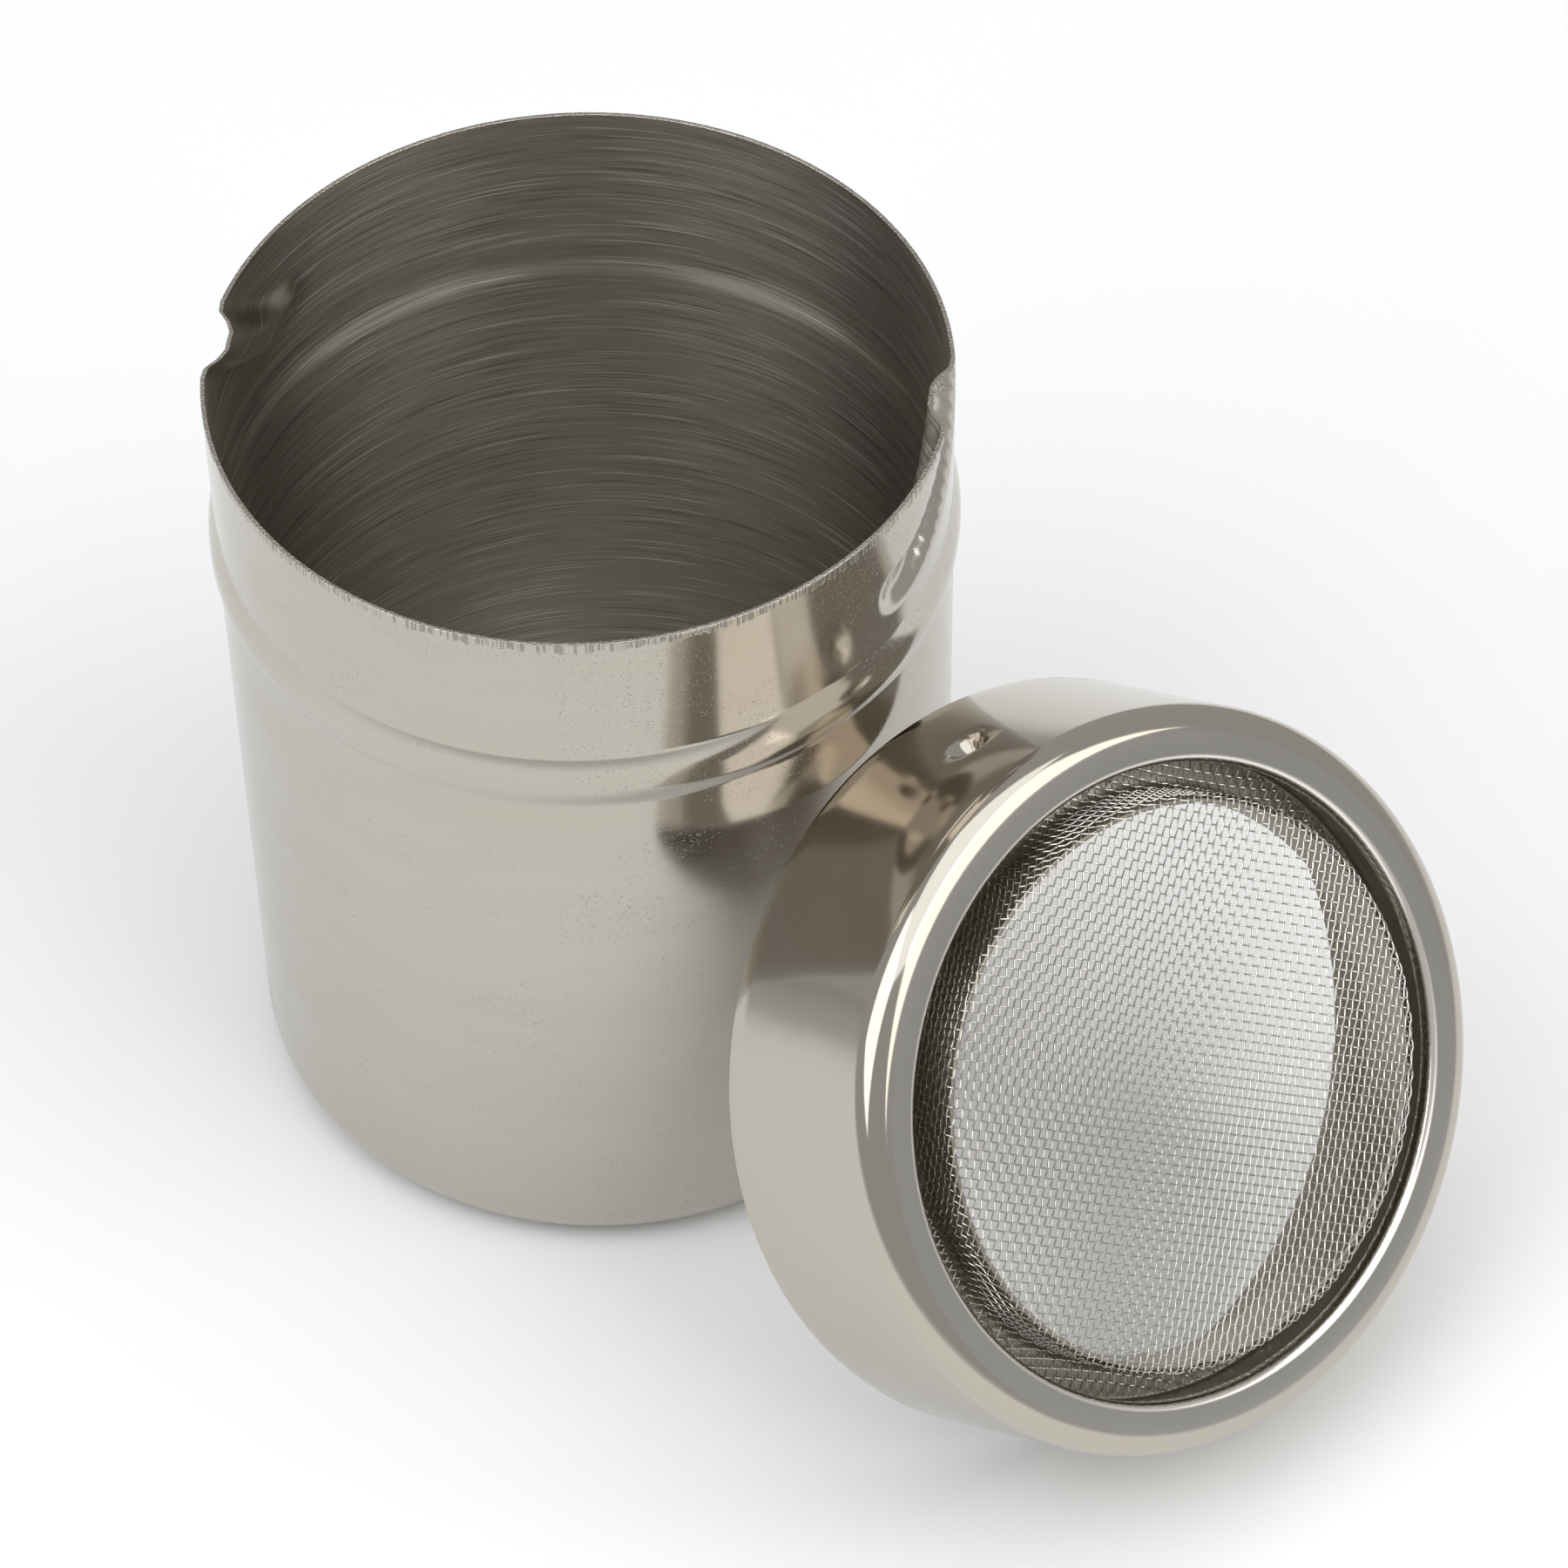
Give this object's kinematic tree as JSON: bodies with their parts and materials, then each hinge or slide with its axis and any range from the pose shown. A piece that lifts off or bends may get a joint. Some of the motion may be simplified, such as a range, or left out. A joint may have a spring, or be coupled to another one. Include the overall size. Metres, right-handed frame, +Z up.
{
  "type": "kitchen shaker with bayonet mesh lid",
  "caption": "Polished stainless-steel kitchen shaker cup with its bayonet lid off and leaning on it; the lid carries a raised woven wire screen.",
  "frame": {"origin": "centre of the cup's flat underside, on the surface that the cup stands on", "axes": "+Z up along the cup's axis, -Y towards the viewer, +X to the viewer's right; the lid leans on the cup from the right front"},
  "size_m": [0.1225, 0.1176, 0.0924],
  "materials": {
    "cup_steel": "polished outside, turned and brushed inside",
    "lid_steel": "mirror polished skirt, satin flat rim",
    "ring_steel": "plain rolled",
    "wire_steel": "bright drawn wire, plain weave"
  },
  "bodies": {
    "cup_body": {"cup": "cup_steel"},
    "lid_body": {"lid_shell": "lid_steel", "retaining_ring": "ring_steel", "mesh_screen": "wire_steel"}
  },
  "joints": [
    {"name": "lid_lift_away", "type": "slide", "parent": "cup_body", "child": "lid_body", "axis": [0.5238, -0.6469, 0.5543], "range_m": [0, 0.1]}
  ]
}
